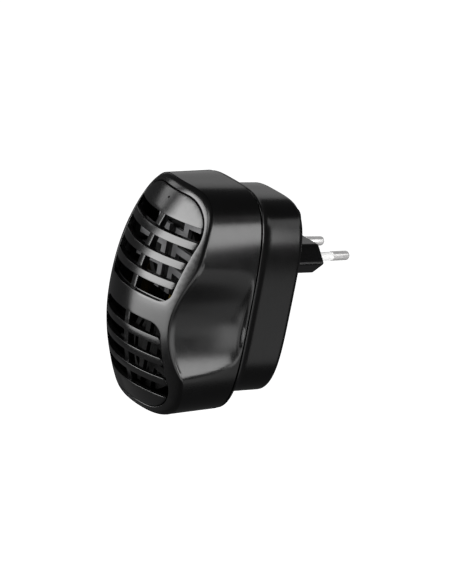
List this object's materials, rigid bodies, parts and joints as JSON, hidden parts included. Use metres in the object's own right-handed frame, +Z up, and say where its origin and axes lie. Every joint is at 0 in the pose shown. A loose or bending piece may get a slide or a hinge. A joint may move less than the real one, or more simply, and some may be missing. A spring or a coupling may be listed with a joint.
{
  "type": "ultrasonic pest repeller",
  "caption": "Plug-in ultrasonic pest repeller: a curved black housing with two slatted front windows over ultrasonic speakers, on a fixed flat two-pin mains plug.",
  "frame": {"origin": "middle of the plug block's socket face, between the two pins", "axes": "+Y points into the wall socket along the plug, +Z is up, +X is to the right when the slatted face is looked at from the front"},
  "size_m": [0.058, 0.101, 0.0949],
  "materials": {
    "housing_black": "satin moulded black plastic",
    "grille_black": "satin moulded black plastic",
    "pin_nickel": "bright nickel plate",
    "sleeve_white": "smooth white nylon",
    "contact_brass": "plain brass",
    "board_laminate": "paper laminate",
    "screw_steel": "zinc-plated steel",
    "wire_brown": "smooth insulation",
    "wire_blue": "smooth insulation",
    "wire_red": "smooth insulation",
    "wire_yellow": "smooth insulation",
    "wire_green": "smooth insulation",
    "fuse_ceramic": "glazed",
    "varistor_blue": "dipped epoxy",
    "capacitor_yellow": "moulded case",
    "component_black": "moulded epoxy",
    "capacitor_sleeve": "shrink sleeve",
    "ferrite": "pressed ferrite",
    "winding_tape": "polyester tape",
    "resistor_body": "lacquered",
    "ceramic_orange": "dipped ceramic",
    "led_red": "tinted diffused epoxy",
    "cup_black": "moulded black plastic",
    "bracket_grey": "moulded grey plastic",
    "cone_film": "pressed black film"
  },
  "bodies": {
    "root": {"front_housing": "housing_black", "grille": "grille_black", "rear_housing": "housing_black", "plug_block": "housing_black", "pin_left": "pin_nickel", "pin_right": "pin_nickel", "pin_sleeve_left": "sleeve_white", "pin_sleeve_right": "sleeve_white", "pin_contact_left": "contact_brass", "pin_contact_right": "contact_brass", "main_board": "board_laminate", "board_screws": "screw_steel", "housing_screws": "screw_steel", "live_wire": "wire_brown", "neutral_wire": "wire_blue", "fuse": "fuse_ceramic", "surge_varistor": "varistor_blue", "suppression_capacitor": "capacitor_yellow", "bridge_rectifier": "component_black", "smoothing_capacitor": "capacitor_sleeve", "transformer_core": "ferrite", "transformer_winding": "winding_tape", "driver_transistors": "component_black", "tuning_coils": "ferrite", "controller_chip": "component_black", "resistors": "resistor_body", "ceramic_capacitors": "ceramic_orange", "indicator_led": "led_red", "led_wires": "wire_red", "speaker_cup_upper": "cup_black", "speaker_cup_lower": "cup_black", "speaker_bracket_upper": "bracket_grey", "speaker_bracket_lower": "bracket_grey", "speaker_cone_upper": "cone_film", "speaker_cone_lower": "cone_film", "piezo_disc_upper": "contact_brass", "piezo_disc_lower": "contact_brass", "bracket_screws": "screw_steel", "speaker_wires_upper": "wire_yellow", "speaker_wires_lower": "wire_green"}
  },
  "joints": []
}
